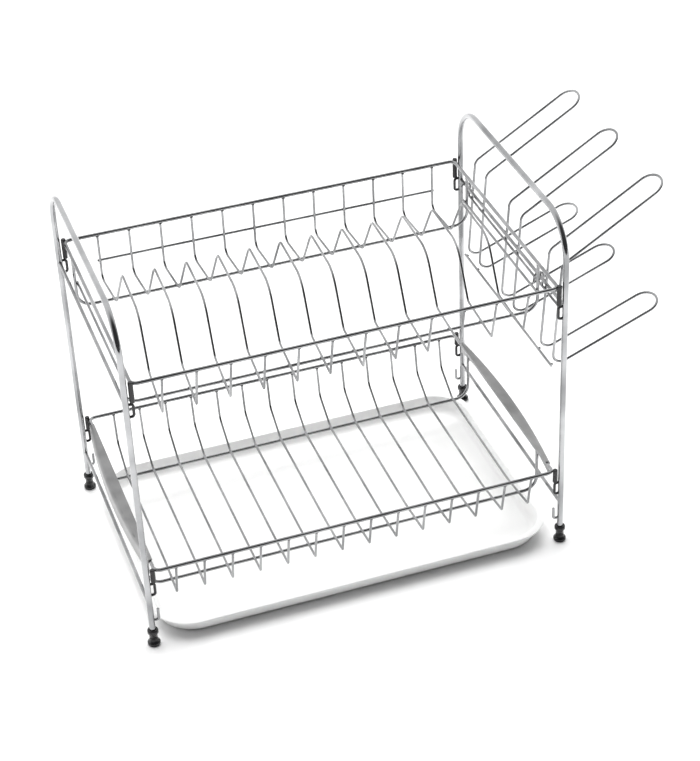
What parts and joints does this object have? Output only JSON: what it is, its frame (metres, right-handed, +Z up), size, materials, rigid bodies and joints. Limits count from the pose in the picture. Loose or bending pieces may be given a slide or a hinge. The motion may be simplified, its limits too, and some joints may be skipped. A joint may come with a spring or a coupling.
{
  "type": "dish drying rack",
  "caption": "Tiered chrome wire dish drying rack: arched end frames, upper plate rack with dividers, lower bowl rack, side cup holder and a sliding white drip tray.",
  "frame": {"origin": "on the floor, under the middle of the whole object's box", "axes": "+Z up, +X to the right towards the cup holder, +Y to the back"},
  "size_m": [0.5156, 0.261, 0.3519],
  "materials": {
    "chrome_frame": "bright chrome plate on round steel bar",
    "chrome_wire": "bright chrome plate on steel wire",
    "steel_strip": "satin plated sheet steel",
    "black_plastic": "moulded black plastic",
    "dark_lug": "black dipped coating on bent wire",
    "white_tray": "moulded white plastic, slightly glossy"
  },
  "bodies": {
    "frame": {"left_arch_frame": "chrome_frame", "left_upper_cross_bar": "chrome_wire", "left_lower_cross_bar": "chrome_wire", "front_left_foot": "black_plastic", "back_left_foot": "black_plastic", "right_arch_frame": "chrome_frame", "right_upper_cross_bar": "chrome_wire", "right_lower_cross_bar": "chrome_wire", "front_right_foot": "black_plastic", "back_right_foot": "black_plastic", "lower_rack_lugs": "dark_lug", "upper_rack_lugs": "dark_lug", "leg_hooks": "chrome_wire", "lower_rim": "chrome_wire", "lower_back_floor_rail": "chrome_wire", "lower_front_floor_rail": "chrome_wire", "lower_left_end_strip": "steel_strip", "lower_right_end_strip": "steel_strip", "lower_corner_pads": "black_plastic", "lower_wire_01": "chrome_wire", "lower_wire_02": "chrome_wire", "lower_wire_03": "chrome_wire", "lower_wire_04": "chrome_wire", "lower_wire_05": "chrome_wire", "lower_wire_06": "chrome_wire", "lower_wire_07": "chrome_wire", "lower_wire_08": "chrome_wire", "lower_wire_09": "chrome_wire", "lower_wire_10": "chrome_wire", "lower_wire_11": "chrome_wire", "lower_wire_12": "chrome_wire", "lower_wire_13": "chrome_wire", "lower_wire_14": "chrome_wire"},
    "upper_rack": {"upper_rim": "chrome_wire", "upper_back_floor_rail": "chrome_wire", "upper_front_floor_rail": "chrome_wire", "upper_back_guard_rail": "chrome_wire", "upper_left_side_rail": "chrome_wire", "upper_right_side_rail": "chrome_wire", "upper_corner_pads": "black_plastic", "upper_wire_01": "chrome_wire", "upper_wire_02": "chrome_wire", "upper_wire_03": "chrome_wire", "upper_wire_04": "chrome_wire", "upper_wire_05": "chrome_wire", "upper_wire_06": "chrome_wire", "upper_wire_07": "chrome_wire", "upper_wire_08": "chrome_wire", "upper_wire_09": "chrome_wire", "upper_wire_10": "chrome_wire", "upper_wire_11": "chrome_wire", "upper_wire_12": "chrome_wire"},
    "cup_holder": {"cup_loop_front": "chrome_wire", "cup_loop_middle": "chrome_wire", "cup_loop_back": "chrome_wire", "holder_upper_bar": "chrome_wire", "holder_lower_bar": "chrome_wire", "holder_hooks": "chrome_wire"},
    "tray": {"drip_tray": "white_tray"}
  },
  "joints": [
    {"name": "tray_slide", "type": "slide", "parent": "frame", "child": "tray", "axis": [0, -1, 0], "range_m": [0, 0.23]},
    {"name": "upper_rack_lift", "type": "slide", "parent": "frame", "child": "upper_rack", "axis": [0, 0, 1], "range_m": [0, 0.1]},
    {"name": "cup_holder_lift", "type": "slide", "parent": "frame", "child": "cup_holder", "axis": [0, 0, 1], "range_m": [0, 0.008]}
  ]
}
